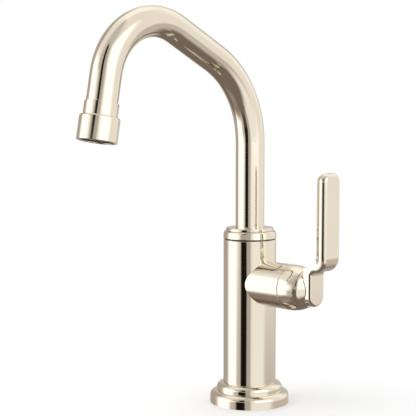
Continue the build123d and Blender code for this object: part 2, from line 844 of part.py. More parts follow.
def screw_place():
    """Frame of the set screw, pointing down from the hub's axis."""
    place = (dome_start + set_screw_setback, 0, branch_height)
    return Plane(origin=place, x_dir=(1, 0, 0), z_dir=(0, 0, -1))


def make_dome():
    """Shallow dome of the lever's hub, which carries on the bonnet's crown."""
    return hub_frame * turned(
        (0, dome_start),
        (dome_radius, dome_start, dome_edge_round),
        (dome_radius - dome_shoulder_drop, dome_start + dome_shoulder_rise, dome_shoulder_round),
        (dome_face_radius, dome_start + dome_depth, dome_face_round),
        (0, dome_start + dome_depth),
    )


def make_lever():
    """Domed hub, flat tab, outward bend and upright grip in one piece, bored for the spindle."""
    bar = (make_tab() + make_swept_bar() + make_grip_end()) & make_back_limits()
    lever = make_dome() + bar
    roots_start = dome_start + tab_back_inset + seat_gap
    roots_end = tab_face - tab_chamfer_depth - tab_side_round
    roots = [edge for edge in lever.edges() if edge.geom_type != GeomType.LINE
             and roots_start < (edge @ 0.5).X < roots_end and (edge @ 0.5).Z < branch_height + tab_width / 2]
    lever = fillet(roots, tab_root_fillet)
    bore = rod(spindle_radius + seat_gap, dome_start - cut_margin, spindle_tip + seat_gap)
    screw_hole = rod(set_screw_radius + seat_gap, 0, dome_radius + cut_margin)
    return lever - hub_frame * bore - screw_place() * screw_hole


def make_set_screw():
    """Set screw with a hexagon socket, tight on the spindle's flat."""
    foot = spindle_radius - spindle_flat_depth + seat_gap
    head = foot + set_screw_length
    screw = rod(set_screw_radius, foot, head)
    key = hexagon(set_screw_key_flats, head - set_screw_key_depth, head + cut_margin)
    return screw_place() * (screw - key)


nodes = {
    "base_flange": make_flange,
    "base_gasket": make_gasket,
    "faucet_body": make_body,
    "mounting_shank": make_shank,
    "rubber_washer": make_rubber_washer,
    "steel_washer": make_steel_washer,
    "lock_nut": make_lock_nut,
    "supply_tube": make_supply_tube,
    "tube_bush": make_tube_bush,
    "inlet_fitting": make_inlet_fitting,
    "thrust_washer": make_thrust_washer,
    "snap_ring": make_snap_ring,
    "collar_ring": make_collar,
    "spout_stem": make_spout_stem,
    "spout_seals": make_spout_seals,
    "spout_tube": make_spout_tube,
    "nozzle_ferrule": make_ferrule,
    "nozzle_housing": make_housing,
    "flow_washer": make_flow_washer,
    "flow_screen": make_flow_screen,
    "flow_insert": make_flow_insert,
    "headwork": make_headwork,
    "headwork_gasket": make_headwork_gasket,
    "seat_seal": make_seat_seal,
    "fixed_disc": make_fixed_disc,
    "moving_disc": make_moving_disc,
    "spindle": make_spindle,
    "spindle_seals": make_spindle_seals,
    "spindle_clip": make_spindle_clip,
    "bonnet": make_bonnet,
    "glide_ring": make_glide_ring,
    "lever_handle": make_lever,
    "handle_set_screw": make_set_screw,
}

os.makedirs("parts", exist_ok=True)
for name, make in nodes.items():
    made = make()
    solids = []
    for piece in (made if isinstance(made, list) else [made]):
        solids += piece.solids()
    node = Compound(label=name, children=solids) if len(solids) > 1 else solids[0]
    node.label = name
    export_step(node, "parts/" + name + ".step")
    print(name, len(solids), "solid(s)", round(sum(solid.volume for solid in solids), 1), "mm3")
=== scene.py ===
# %% [markdown]
# A beverage faucet in polished nickel.
#
# The faucet's metal pieces come from the CAD frame at their real size, so their
# shapes are already right. What is made here is everything that the eye reads as
# polished metal: the studio that it mirrors, the finish of each surface, the threads
# that the CAD model leaves plain, and the camera at the photograph's angle.

# %% Load the frame
import json
import math

import bmesh
import bpy
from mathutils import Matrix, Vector


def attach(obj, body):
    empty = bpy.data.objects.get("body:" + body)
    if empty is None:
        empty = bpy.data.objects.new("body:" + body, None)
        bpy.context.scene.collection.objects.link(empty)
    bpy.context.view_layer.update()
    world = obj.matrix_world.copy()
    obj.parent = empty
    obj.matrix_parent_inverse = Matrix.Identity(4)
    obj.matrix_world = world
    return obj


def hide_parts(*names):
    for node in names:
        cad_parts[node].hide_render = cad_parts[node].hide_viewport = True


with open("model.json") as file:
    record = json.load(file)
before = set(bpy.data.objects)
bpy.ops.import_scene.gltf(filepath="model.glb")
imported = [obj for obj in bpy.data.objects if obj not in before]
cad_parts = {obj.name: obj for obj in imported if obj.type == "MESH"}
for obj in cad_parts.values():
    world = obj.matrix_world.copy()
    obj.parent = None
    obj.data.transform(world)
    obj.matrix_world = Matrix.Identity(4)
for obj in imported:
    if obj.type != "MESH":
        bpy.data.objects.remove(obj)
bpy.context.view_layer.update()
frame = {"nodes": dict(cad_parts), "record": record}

nodes = frame["nodes"]

# %% [markdown]
# The camera of a product photograph stands far back with a long lens, so the column's
# sides look nearly parallel. A bare point and three angles would place it too, but
# they don't say which way to nudge it. So its place is written as a photographer would
# note it: how far round the faucet, how far away and how high, then how it is aimed.

# %% Camera
camera_azimuth = math.radians(43.27)
camera_distance = 0.8931
camera_height = 0.2259
camera_pitch = math.radians(4.75)
camera_yaw = math.radians(2.083)
camera_lens = 100.12
camera_sensor_width = 36.0

camera_data = bpy.data.cameras.new("product_camera")
camera_data.lens = camera_lens
camera_data.sensor_width = camera_sensor_width
camera = bpy.data.objects.new("product_camera", camera_data)
camera.location = (
    camera_distance * math.sin(camera_azimuth),
    -camera_distance * math.cos(camera_azimuth),
    camera_height,
)
camera.rotation_euler = (math.pi / 2 - camera_pitch, 0.0, camera_azimuth + camera_yaw)
bpy.context.collection.objects.link(camera)
bpy.context.scene.camera = camera
bpy.context.scene.view_settings.view_transform = "Standard"
print("camera at", [round(value, 3) for value in camera.location])

# %% [markdown]
# Materials and the world are built from shader nodes. Written out in full, each node
# takes four or five lines that hide what matters. These small helpers keep each later
# cell down to the nodes themselves: one makes a node, one links or sets a socket, and
# the others do arithmetic, a soft step, a mix of two colours and a mix of two shaders.

# %% Helpers for nodes
plain_white = (1.0, 1.0, 1.0, 1.0)


def add_node(tree, kind, label="", **values):
    """Makes a node of that kind. Values are its properties."""
    node = tree.nodes.new(kind)
    node.label = label
    for name, value in values.items():
        setattr(node, name, value)
    return node


def feed(tree, socket, value):
    """Links a socket to another one, or sets its number or colour."""
    if isinstance(value, bpy.types.NodeSocket):
        tree.links.new(value, socket)
    else:
        socket.default_value = value


def math_node(tree, operation, first, second=0.0):
    """A Math node. Its inputs are numbers or sockets, and its output is returned."""
    node = add_node(tree, "ShaderNodeMath", operation=operation)
    feed(tree, node.inputs[0], first)
    feed(tree, node.inputs[1], second)
    return node.outputs[0]


def smooth_range(tree, value, low, high, low_result=0.0, high_result=1.0):
    """A smooth step from low to high. The limits are numbers or sockets."""
    node = add_node(tree, "ShaderNodeMapRange", interpolation_type="SMOOTHSTEP")
    for name, given in (("Value", value), ("From Min", low), ("From Max", high),
                        ("To Min", low_result), ("To Max", high_result)):
        feed(tree, node.inputs[name], given)
    return node.outputs["Result"]


def mix_colours(tree, factor, first, second):
    """A colour between two others."""
    node = add_node(tree, "ShaderNodeMix", data_type="RGBA")
    for name, given in (("Factor", factor), ("A", first), ("B", second)):
        feed(tree, node.inputs[name], given)
    return node.outputs["Result"]


def mix_shaders(tree, factor, first, second):
    """A shader between two others. A factor of 0 gives the first one."""
    node = add_node(tree, "ShaderNodeMixShader")
    for socket, given in zip(node.inputs, (factor, first, second)):
        tree.links.new(given, socket)
    return node.outputs[0]


print("node helpers ready")

# %% [markdown]
# An effect that several materials use is best built once. A node group is such an
# effect in a box of its own, with named sockets outside. One helper makes an empty
# group and hands back its inner sockets, and the other places a group in a material
# with its own values.

# %% Helpers for node groups
def new_group(name, inputs, outputs):
    """An empty shader node group. Inputs are (name, socket type, default value)."""
    group = bpy.data.node_groups.new(name, "ShaderNodeTree")
    for socket_name, socket_type, default in inputs:
        socket = group.interface.new_socket(socket_name, in_out="INPUT", socket_type=socket_type)
        socket.default_value = default
    for socket_name, socket_type in outputs:
        group.interface.new_socket(socket_name, in_out="OUTPUT", socket_type=socket_type)
    return group, group.nodes.new("NodeGroupInput").outputs, group.nodes.new("NodeGroupOutput").inputs


def place_group(tree, group, label="", **values):
    """Places a node group in a tree, with values for its inputs, spaces written as _."""
    node = add_node(tree, "ShaderNodeGroup", label=label, node_tree=group)
    for name, value in values.items():
        feed(tree, node.inputs[name.replace("_", " ")], value)
    return node.outputs


print("group helpers ready")

# %% [markdown]
# Polished metal has hardly any look of its own: it shows the room. A photographer
# builds that room from panels. They could be lit planes round the faucet, but then
# each one would light the deck as well. Here the room is a world shader that only
# mirrored rays see, written in two angles: azimuth, counted to the left from the
# camera, and elevation. Each panel is a soft-edged rectangle of those angles that
# covers what is behind it, so a list of panels reads like a lighting plan.

# %% One studio panel as a node group
half_turn = 180.0


def soft_edge(group, value, limit, blur, before, after):
    """A step at a limit, from blur before it to blur after it."""
    start = math_node(group, "SUBTRACT", limit, blur)
    end = math_node(group, "ADD", limit, blur)
    return smooth_range(group, value, start, end, before, after)


def make_panel_group():
    """A panel: it mixes its own light over what is behind, inside soft-edged limits."""
    group, given, result = new_group(
        "studio_panel",
        [("Azimuth", "NodeSocketFloat", 0.0), ("Elevation", "NodeSocketFloat", 0.0),
         ("Behind", "NodeSocketColor", plain_white), ("Light", "NodeSocketColor", plain_white),
         ("Centre", "NodeSocketFloat", 0.0), ("Half Width", "NodeSocketFloat", 20.0),
         ("Side Blur", "NodeSocketFloat", 5.0), ("Low", "NodeSocketFloat", -10.0),
         ("High", "NodeSocketFloat", 10.0), ("Rim Blur", "NodeSocketFloat", 5.0)],
        [("Light", "NodeSocketColor")],
    )
    wrapped = add_node(group, "ShaderNodeMath", operation="WRAP")
    offset = math_node(group, "SUBTRACT", given["Azimuth"], given["Centre"])
    for socket, value in zip(wrapped.inputs, (offset, half_turn, -half_turn)):
        feed(group, socket, value)
    aside = math_node(group, "ABSOLUTE", wrapped.outputs[0])
    across = soft_edge(group, aside, given["Half Width"], given["Side Blur"], 1.0, 0.0)
    above_low = soft_edge(group, given["Elevation"], given["Low"], given["Rim Blur"], 0.0, 1.0)
    below_high = soft_edge(group, given["Elevation"], given["High"], given["Rim Blur"], 1.0, 0.0)
    cover = math_node(group, "MULTIPLY", across, math_node(group, "MULTIPLY", above_low, below_high))
    group.links.new(mix_colours(group, cover, given["Behind"], given["Light"]), result["Light"])
    return group


studio_panel = make_panel_group()
print("studio panel sockets:", len(studio_panel.interface.items_tree))

# %% [markdown]
# The plan goes from what lies furthest back to what stands in front. The dark flag
# beside the camera draws the black stripe down every upright, and the table below
# gives the metal its warm brown undersides. Each panel's place was found by asking
# which way a mirrored ray leaves the metal where the photograph is bright or dark.

# %% The studio's lighting plan
# Angles are in degrees: azimuth to the left of the camera, elevation above the horizon.
room_tone = (0.97, 0.95, 0.93)
panel_white = (1.50, 1.52, 1.58)
flag_black = (0.010, 0.008, 0.007)
table_tone = (0.205, 0.168, 0.150)
lighting_plan = [
    # (name, light, centre, half width, side blur, low, high, rim blur)
    ("overhead_front", (0.62, 0.60, 0.58), 16, 44, 26, 46, 100, 8),
    ("overhead_back", (1.22, 1.20, 1.18), 180, 48, 20, 44, 100, 14),
    ("back_right_wall", (1.14, 1.13, 1.12), -136, 24, 14, 3, 46, 8),
    ("right_wall_foot", (0.64, 0.585, 0.555), -112, 48, 12, -60, -10.5, 4),
    ("back_wall", (0.62, 0.59, 0.58), 178, 38, 18, -40, 30, 8),
    ("left_back_wall", (0.48, 0.43, 0.40), 138, 26, 12, -60, 48, 10),
    ("right_panel", panel_white, -44, 28, 10, -4, 42, 9),
    ("right_panel_foot", (1.04, 1.03, 1.02), -38, 28, 14, -60, -3, 6),
    ("left_panel", panel_white, 80, 24, 6, -28, 30, 9),
    ("left_panel_foot", (0.42, 0.36, 0.32), 84, 30, 8, -60, -30, 6),
    ("left_panel_side", (0.62, 0.57, 0.535), 48, 12.5, 9, -60, 48, 12),
    ("left_panel_near", (0.98, 0.97, 0.95), 46, 10, 5, -5, 20, 9),
    ("left_panel_tip", panel_white, 60, 10, 5, -6, 18, 9),
    ("camera_side", (0.52, 0.48, 0.45), 6, 10, 5, -60, 48, 8),
    ("flag_gap", (0.50, 0.46, 0.43), 28, 13, 3, -60, 52, 4),
    ("flag_foot", (0.085, 0.068, 0.060), 27, 14, 3, -60, -13, 6),
    ("black_flag", flag_black, 26, 12.4, 2.4, -20, 1, 3),
    ("black_flag_top", flag_black, 23, 8, 2.4, 14, 50, 2.5),
    ("table", table_tone, 0, 181, 1, -100, -38, 10),
    ("table_left", table_tone, 150, 44, 8, -100, -20, 7),
    ("table_front", table_tone, 22, 26, 8, -100, -36, 7),
    ("table_glow", (0.36, 0.30, 0.27), 88, 28, 12, -60, -42, 6),
]
print("panels in the studio:", len(lighting_plan))

# %% [markdown]
# The world is a mix of three backgrounds chosen by the kind of ray. A camera ray sees
# plain white, a mirrored ray sees the studio, and everything matt is lit by an even
# soft white, so that its colour renders about as it is written. One background for
# all three would be simpler, but a studio dark enough for the metal's stripes would
# leave the deck and the rubber too dark. The two angles of a ray are worked out in
# nodes, and turned with the camera, so that the plan holds as seen from there.

# %% Light along a ray
studio_warmth = (1.012, 0.987, 0.928)


def warm_light(colour):
    """A panel's colour with the whole studio's warmth."""
    return (*(part * warmth for part, warmth in zip(colour, studio_warmth)), 1.0)


def ray_angles(tree):
    """The azimuth and elevation that a ray looks along, in degrees, as the plan counts them."""
    coordinates = add_node(tree, "ShaderNodeTexCoord")
    turn = add_node(tree, "ShaderNodeMapping", vector_type="POINT")
    turn.inputs["Rotation"].default_value = (0.0, 0.0, math.pi / 2 - camera_azimuth)
    tree.links.new(coordinates.outputs["Generated"], turn.inputs["Vector"])
    direction = add_node(tree, "ShaderNodeSeparateXYZ")
    tree.links.new(turn.outputs["Vector"], direction.inputs["Vector"])
    x, y, z = direction.outputs
    azimuth = math_node(tree, "MULTIPLY", math_node(tree, "ARCTAN2", y, x), -math.degrees(1.0))
    elevation = math_node(tree, "MULTIPLY", math_node(tree, "ARCSINE", z), math.degrees(1.0))
    return azimuth, elevation


def stack_panels(tree, azimuth, elevation):
    """The studio's light along a ray: the plan's panels, each laid over those before it."""
    light = warm_light(room_tone)
    for name, colour, centre, half_width, side_blur, low, high, rim_blur in lighting_plan:
        panel = place_group(tree, studio_panel, name, Azimuth=azimuth, Elevation=elevation,
                            Behind=light, Light=warm_light(colour), Centre=centre,
                            Half_Width=half_width, Side_Blur=side_blur, Low=low, High=high,
                            Rim_Blur=rim_blur)
        light = panel["Light"]
    return light


print("ray helpers ready")

# %% [markdown]
# Now the three backgrounds are put together. The Light Path node says what kind a ray
# is: glossy rays are the mirrored ones. The backdrop is mixed in last, so the camera
# never sees the studio itself, only its mirror image in the metal.

# %% The world
even_light = 0.97


def make_background(tree, label, colour, strength=1.0):
    """One background of the world, in a colour or fed by a socket."""
    node = add_node(tree, "ShaderNodeBackground", label)
    feed(tree, node.inputs["Color"], colour)
    node.inputs["Strength"].default_value = strength
    return node.outputs[0]


def make_world():
    """World shader: white to the camera, the studio to mirrored rays, soft white to the rest."""
    world = bpy.data.worlds.new("studio")
    world.use_nodes = True
    tree = world.node_tree
    tree.nodes.clear()
    even = make_background(tree, "even light", plain_white, even_light)
    studio = make_background(tree, "studio", stack_panels(tree, *ray_angles(tree)))
    backdrop = make_background(tree, "white backdrop", plain_white)
    path = add_node(tree, "ShaderNodeLightPath").outputs
    shader = mix_shaders(tree, path["Is Glossy Ray"], even, studio)
    shader = mix_shaders(tree, path["Is Camera Ray"], shader, backdrop)
    tree.links.new(shader, add_node(tree, "ShaderNodeOutputWorld").inputs["Surface"])
    return world


bpy.context.scene.world = make_world()
print("world:", bpy.context.scene.world.name)

# %% [markdown]
# The deck is a pale round floor at the faucet's own deck height. A large white floor
# would show its horizon. So this one takes the soft shadow near the faucet and fades
# to the white backdrop further out. Mirrored rays pass it by, because the studio's
# table stands in for it there. Seen from below it lets the eye through to the nut and
# washers.

# %% Deck
deck_radius = 2.4
deck_sides = 96
deck_white = (0.99, 0.99, 0.99, 1.0)
deck_roughness = 0.9
fade_start = 0.06
fade_end = 0.26


def make_deck_finish():
    """Matt white that fades to the backdrop further out, and is clear from below."""
    material = bpy.data.materials.new("pale_deck")
    material.use_nodes = True
    tree = material.node_tree
    surface = tree.nodes["Principled BSDF"]
    surface.inputs["Roughness"].default_value = deck_roughness
    surface.inputs["Specular IOR Level"].default_value = 0.0
    surface.inputs["Base Color"].default_value = deck_white
    place = add_node(tree, "ShaderNodeTexCoord").outputs["Object"]
    distance = add_node(tree, "ShaderNodeVectorMath", operation="LENGTH")
    tree.links.new(place, distance.inputs[0])
    far = smooth_range(tree, distance.outputs["Value"], fade_start, fade_end)
    to_camera = add_node(tree, "ShaderNodeLightPath").outputs["Is Camera Ray"]
    far = math_node(tree, "MULTIPLY", far, to_camera)
    white = add_node(tree, "ShaderNodeEmission").outputs[0]
    shader = mix_shaders(tree, far, surface.outputs[0], white)
    back = add_node(tree, "ShaderNodeNewGeometry").outputs["Backfacing"]
    see_through = add_node(tree, "ShaderNodeBsdfTransparent").outputs[0]
    shader = mix_shaders(tree, back, shader, see_through)
    tree.links.new(shader, tree.nodes["Material Output"].inputs["Surface"])
    return material


def make_deck():
    """Round pale deck with its top at the faucet's deck face."""
    bpy.ops.object.select_all(action="DESELECT")
    bpy.ops.mesh.primitive_circle_add(vertices=deck_sides, radius=deck_radius, fill_type="NGON")
    deck = bpy.context.object
    deck.name = "deck"
    deck.visible_glossy = False
    deck.data.materials.append(make_deck_finish())
    return deck


deck = make_deck()
print("deck", round(deck.dimensions.x, 2), "m across")

# %% [markdown]
# The world's even light comes from all sides, so its shadow leans nowhere. A large
# soft lamp adds a faint shadow that does. A point lamp would draw a hard edge, and
# mirrored rays don't see this lamp, so it adds no bright spot to the metal.

# %% Soft lamp
lamp_height = 1.3
lamp_lean = (-0.3, -0.6, 1.0)
lamp_size = 0.9
lamp_power = 3.0


def make_lamp():
    """Large soft lamp above and to the left, aimed at the faucet's foot."""
    data = bpy.data.lights.new("soft_lamp", "AREA")
    data.energy = lamp_power
    data.size = lamp_size
    lamp = bpy.data.objects.new("soft_lamp", data)
    lamp.location = [share * lamp_height for share in lamp_lean]
    lamp.rotation_euler = lamp.location.to_track_quat("Z", "Y").to_euler()
    lamp.visible_glossy = False
    bpy.context.collection.objects.link(lamp)
    return lamp


lamp = make_lamp()
print("lamp", lamp.data.energy, "W")

# %% [markdown]
# Four effects make the finishes, each of them a node group. The first is the slight
# unevenness of a polished or drawn surface: soft smudges that dull the gloss here and
# there. A painted map could hold them too, but it would need an unwrapped surface. The
# noise reads Object coordinates in metres, so its scale is real.

# %% Effect: smudges
smudge_start = 0.40
smudge_full = 0.72


def make_smudge_group():
    """Slow smudges: a tint, a roughness and a height."""
    group, given, result = new_group(
        "smudges",
        [("Roughness", "NodeSocketFloat", 0.06), ("Variation", "NodeSocketFloat", 0.02),
         ("Scale", "NodeSocketFloat", 38.0), ("Tint", "NodeSocketColor", plain_white),
         ("Dull Tint", "NodeSocketColor", plain_white)],
        [("Color", "NodeSocketColor"), ("Roughness", "NodeSocketFloat"),
         ("Height", "NodeSocketFloat")],
    )
    noise = add_node(group, "ShaderNodeTexNoise", "smudges")
    noise.inputs["Detail"].default_value = 3.0
    group.links.new(add_node(group, "ShaderNodeTexCoord").outputs["Object"], noise.inputs["Vector"])
    group.links.new(given["Scale"], noise.inputs["Scale"])
    smudge = smooth_range(group, noise.outputs["Fac"], smudge_start, smudge_full)
    change = math_node(group, "MULTIPLY", smudge, given["Variation"])
    group.links.new(math_node(group, "ADD", given["Roughness"], change), result["Roughness"])
    group.links.new(mix_colours(group, smudge, given["Tint"], given["Dull Tint"]), result["Color"])
    group.links.new(noise.outputs["Fac"], result["Height"])
    return group


smudges = make_smudge_group()
print("group:", smudges.name)

# %% [markdown]
# The second effect is what a lathe leaves: fine rings round the axis that a piece was
# turned on. A one-dimensional noise along that axis gives rings of uneven depth, where
# a wave would repeat too evenly. The axis comes in as a vector, so the same group
# serves the column's upright pieces and the valve's level ones.

# %% Effect: turning marks
ring_start = 0.35
ring_full = 0.65


def make_turning_group():
    """Fine rings across an axis: a height, and a mask for how dull each ring is."""
    group, given, result = new_group(
        "turning_marks",
        [("Axis", "NodeSocketVector", (0.0, 0.0, 1.0)),
         ("Rings per Metre", "NodeSocketFloat", 3000.0)],
        [("Height", "NodeSocketFloat"), ("Mask", "NodeSocketFloat")],
    )
    along = add_node(group, "ShaderNodeVectorMath", operation="DOT_PRODUCT")
    group.links.new(add_node(group, "ShaderNodeTexCoord").outputs["Object"], along.inputs[0])
    group.links.new(given["Axis"], along.inputs[1])
    rings = add_node(group, "ShaderNodeTexNoise", "rings", noise_dimensions="1D")
    rings.inputs["Detail"].default_value = 3.0
    rings.inputs["Scale"].default_value = 1.0
    turned = math_node(group, "MULTIPLY", along.outputs["Value"], given["Rings per Metre"])
    group.links.new(turned, rings.inputs["W"])
    group.links.new(rings.outputs["Fac"], result["Height"])
    mask = smooth_range(group, rings.outputs["Fac"], ring_start, ring_full)
    group.links.new(mask, result["Mask"])
    return group


turning_marks = make_turning_group()
print("group:", turning_marks.name)

# %% [markdown]
# The third effect is the tooth of a moulded or pressed surface: rubber, acetal and
# fibre all have a fine grain, with a bloom of dust in the low places. Two noises make
# it. The fine one is the grain, and the slow one says where dust has settled.

# %% Effect: moulded grain
dust_start = 0.42
dust_full = 0.75
grain_hollow_start = 0.62
grain_hollow_full = 0.40
grain_low = 0.3
grain_high = 0.7
grain_roughness = 0.05


def make_grain_group():
    """Fine grain with dusty low places: a colour, a roughness and a height."""
    group, given, result = new_group(
        "moulded_grain",
        [("Scale", "NodeSocketFloat", 1800.0), ("Color", "NodeSocketColor", plain_white),
         ("Dust", "NodeSocketColor", plain_white), ("Roughness", "NodeSocketFloat", 0.5)],
        [("Color", "NodeSocketColor"), ("Roughness", "NodeSocketFloat"),
         ("Height", "NodeSocketFloat")],
    )
    place = add_node(group, "ShaderNodeTexCoord").outputs["Object"]
    fine = add_node(group, "ShaderNodeTexNoise", "grain")
    fine.inputs["Detail"].default_value = 2.0
    slow = add_node(group, "ShaderNodeTexNoise", "dust")
    slow.inputs["Scale"].default_value = 120.0
    for texture in (fine, slow):
        group.links.new(place, texture.inputs["Vector"])
    group.links.new(given["Scale"], fine.inputs["Scale"])
    grain = fine.outputs["Fac"]
    settled = smooth_range(group, slow.outputs["Fac"], dust_start, dust_full)
    hollow = smooth_range(group, grain, grain_hollow_start, grain_hollow_full)
    dust = math_node(group, "MULTIPLY", settled, hollow)
    group.links.new(mix_colours(group, dust, given["Color"], given["Dust"]), result["Color"])
    spread = smooth_range(group, grain, grain_low, grain_high, -grain_roughness, grain_roughness)
    group.links.new(math_node(group, "ADD", given["Roughness"], spread), result["Roughness"])
    group.links.new(grain, result["Height"])
    return group


moulded_grain = make_grain_group()
print("group:", moulded_grain.name)

# %% [markdown]
# The fourth effect is a woven wire screen: two crossed waves, of which the higher one
# is the wire on top. Only the filter disc needs it. It is a group all the same, so
# that the weave's two directions come in as vectors and fit a disc that leans.

# %% Effect: woven wire
hole_start = 0.2
hole_full = -0.1


def make_weave_group():
    """Square woven wire across two directions: a height, and a mask of the open holes."""
    group, given, result = new_group(
        "woven_wire",
        [("Across", "NodeSocketVector", (1.0, 0.0, 0.0)),
         ("Along", "NodeSocketVector", (0.0, 1.0, 0.0)),
         ("Wires per Metre", "NodeSocketFloat", 2200.0)],
        [("Height", "NodeSocketFloat"), ("Holes", "NodeSocketFloat")],
    )
    place = add_node(group, "ShaderNodeTexCoord").outputs["Object"]
    waves = []
    for direction in ("Across", "Along"):
        along = add_node(group, "ShaderNodeVectorMath", operation="DOT_PRODUCT")
        group.links.new(place, along.inputs[0])
        group.links.new(given[direction], along.inputs[1])
        turns = math_node(group, "MULTIPLY", along.outputs["Value"], given["Wires per Metre"])
        waves.append(math_node(group, "COSINE", math_node(group, "MULTIPLY", turns, math.tau)))
    height = math_node(group, "MAXIMUM", *waves)
    group.links.new(height, result["Height"])
    group.links.new(smooth_range(group, height, hole_start, hole_full), result["Holes"])
    return group


woven_wire = make_weave_group()
print("group:", woven_wire.name)

# %% [markdown]
# A finish is one Principled shader. The groups feed its colour and roughness, and a
# Bump node turns their height into a normal. Metals set Metallic to one, and then the
# base colour is the tint of what they mirror. The helpers below hold what every finish
# repeats, so that a finish's own cell shows only what sets it apart.

# %% Helpers for finishes
def new_finish(name, metallic):
    """A material with a Principled shader. Returns the material, its tree and the shader."""
    material = bpy.data.materials.new(name)
    material.use_nodes = True
    surface = material.node_tree.nodes["Principled BSDF"]
    surface.inputs["Metallic"].default_value = metallic
    return material, material.node_tree, surface


def feed_surface(tree, surface, colour, roughness, height, bump_strength, bump_height):
    """Feeds a shader its colour, roughness and bump. The bump's height is in metres."""
    tree.links.new(colour, surface.inputs["Base Color"])
    tree.links.new(roughness, surface.inputs["Roughness"])
    bump = add_node(tree, "ShaderNodeBump")
    bump.inputs["Strength"].default_value = bump_strength
    bump.inputs["Distance"].default_value = bump_height
    tree.links.new(height, bump.inputs["Height"])
    tree.links.new(bump.outputs["Normal"], surface.inputs["Normal"])


def dress(material, *names):
    """Gives CAD nodes a material."""
    for name in names:
        piece = nodes[name]
        if not piece.material_slots:
            piece.data.materials.append(material)
        for material_slot in piece.material_slots:
            material_slot.material = material
    print(material.name, "on", ", ".join(names))


print("finish helpers ready")

# %% [markdown]
# Polished nickel is a warm, yellowish mirror. One flat tint and gloss would look too
# clean. On the turned and drawn pieces the mirror is nearly perfect, with only faint
# smudges. The lever is a casting that was polished by hand, so its flat faces ripple a
# little more.

# %% Polished nickel
nickel_tint = (0.800, 0.755, 0.665, 1.0)
nickel_dull_tint = (0.786, 0.740, 0.648, 1.0)
nickel_ripple = 0.0002


def make_nickel(name, roughness, variation, bump_strength):
    """Nickel plate with faint smudges and an almost flat bump."""
    material, tree, surface = new_finish(name, metallic=1.0)
    effect = place_group(tree, smudges, Roughness=roughness, Variation=variation,
                         Tint=nickel_tint, Dull_Tint=nickel_dull_tint)
    feed_surface(tree, surface, effect["Color"], effect["Roughness"], effect["Height"],
                 bump_strength, nickel_ripple)
    return material


polished_nickel = make_nickel("polished_nickel", roughness=0.065, variation=0.015, bump_strength=0.02)
nickel_lever = make_nickel("nickel_lever", roughness=0.07, variation=0.02, bump_strength=0.04)
dress(polished_nickel, "base_flange", "faucet_body", "collar_ring", "spout_stem", "spout_tube",
      "nozzle_ferrule", "nozzle_housing", "bonnet")
dress(nickel_lever, "lever_handle")

# %% [markdown]
# Below the deck and inside the hub the metal is left as it came off the lathe: fine
# rings, slightly dull, with darker patches where hands have touched it. A brushed look
# from stretched noise would run one way only, while turning marks follow the axis of
# each piece. The valve's pieces were turned on the hub's level axis, the nut and the
# fitting on the upright one.

# %% Machined brass
upright_axis = (0.0, 0.0, 1.0)
hub_axis = (1.0, 0.0, 0.0)
patch_scale = 90.0
patch_variation = 0.12
ring_roughness = 0.06
ring_depth = 0.00004


def make_turned_metal(name, tint, dull_tint, roughness, axis, rings_per_metre, bump_strength):
    """Bare metal with turning marks across an axis and dull patches."""
    material, tree, surface = new_finish(name, metallic=1.0)
    patches = place_group(tree, smudges, Roughness=roughness, Variation=patch_variation,
                          Scale=patch_scale, Tint=tint, Dull_Tint=dull_tint)
    marks = place_group(tree, turning_marks, Axis=axis, Rings_per_Metre=rings_per_metre)
    uneven = math_node(tree, "MULTIPLY", marks["Mask"], ring_roughness)
    dulled = math_node(tree, "ADD", patches["Roughness"], uneven)
    feed_surface(tree, surface, patches["Color"], dulled, marks["Height"], bump_strength, ring_depth)
    return material


brass = {"tint": (0.80, 0.58, 0.27, 1.0), "dull_tint": (0.60, 0.41, 0.19, 1.0),
         "rings_per_metre": 3200.0, "bump_strength": 0.35}
upright_brass = make_turned_metal("raw_brass", roughness=0.22, axis=upright_axis, **brass)
level_brass = make_turned_metal("raw_brass_level", roughness=0.20, axis=hub_axis, **brass)
dress(upright_brass, "mounting_shank", "lock_nut", "inlet_fitting")
dress(level_brass, "headwork", "spindle")

# %% [markdown]
# The supply tube is drawn copper, with coarse, faint marks. The washer, the snap ring,
# the spindle's clip and the lever's screw are stainless steel, greyer than nickel and
# a little dull. They differ from brass only in tint, gloss and marks, so they use the
# same maker.

# %% Copper and stainless steel
copper = make_turned_metal("copper", tint=(0.80, 0.40, 0.26, 1.0), dull_tint=(0.50, 0.22, 0.15, 1.0),
                           roughness=0.28, axis=upright_axis, rings_per_metre=700.0,
                           bump_strength=0.08)
steel_tint = (0.60, 0.59, 0.57, 1.0)
steel_dull_tint = (0.50, 0.49, 0.48, 1.0)
steel = {"tint": steel_tint, "dull_tint": steel_dull_tint, "rings_per_metre": 2400.0,
         "bump_strength": 0.20}
stainless_steel = make_turned_metal("stainless_steel", roughness=0.24, axis=upright_axis, **steel)
level_steel = make_turned_metal("stainless_steel_level", roughness=0.22, axis=hub_axis, **steel)
dress(copper, "supply_tube")
dress(stainless_steel, "steel_washer", "snap_ring", "handle_set_screw")
dress(level_steel, "spindle_clip")

# %% [markdown]
# Rubber is nearly black, matt and slightly dusty. Acetal is smoother and shines a
# little. The valve's ceramic discs are lapped until they cling to each other, so they
# are as glossy as a tile, and the fibre gasket is a red pressed sheet. All of them are
# moulded or pressed, so one maker serves, with a grain of each one's own size.

# %% Rubber, plastic, ceramic and fibre
grain_depth = 0.00005


def make_moulded(name, colour, dust, roughness, grain_scale, bump_strength):
    """Moulded or pressed material with a fine grain."""
    material, tree, surface = new_finish(name, metallic=0.0)
    grain = place_group(tree, moulded_grain, Scale=grain_scale, Color=colour, Dust=dust,
                        Roughness=roughness)
    feed_surface(tree, surface, grain["Color"], grain["Roughness"], grain["Height"],
                 bump_strength, grain_depth)
    return material


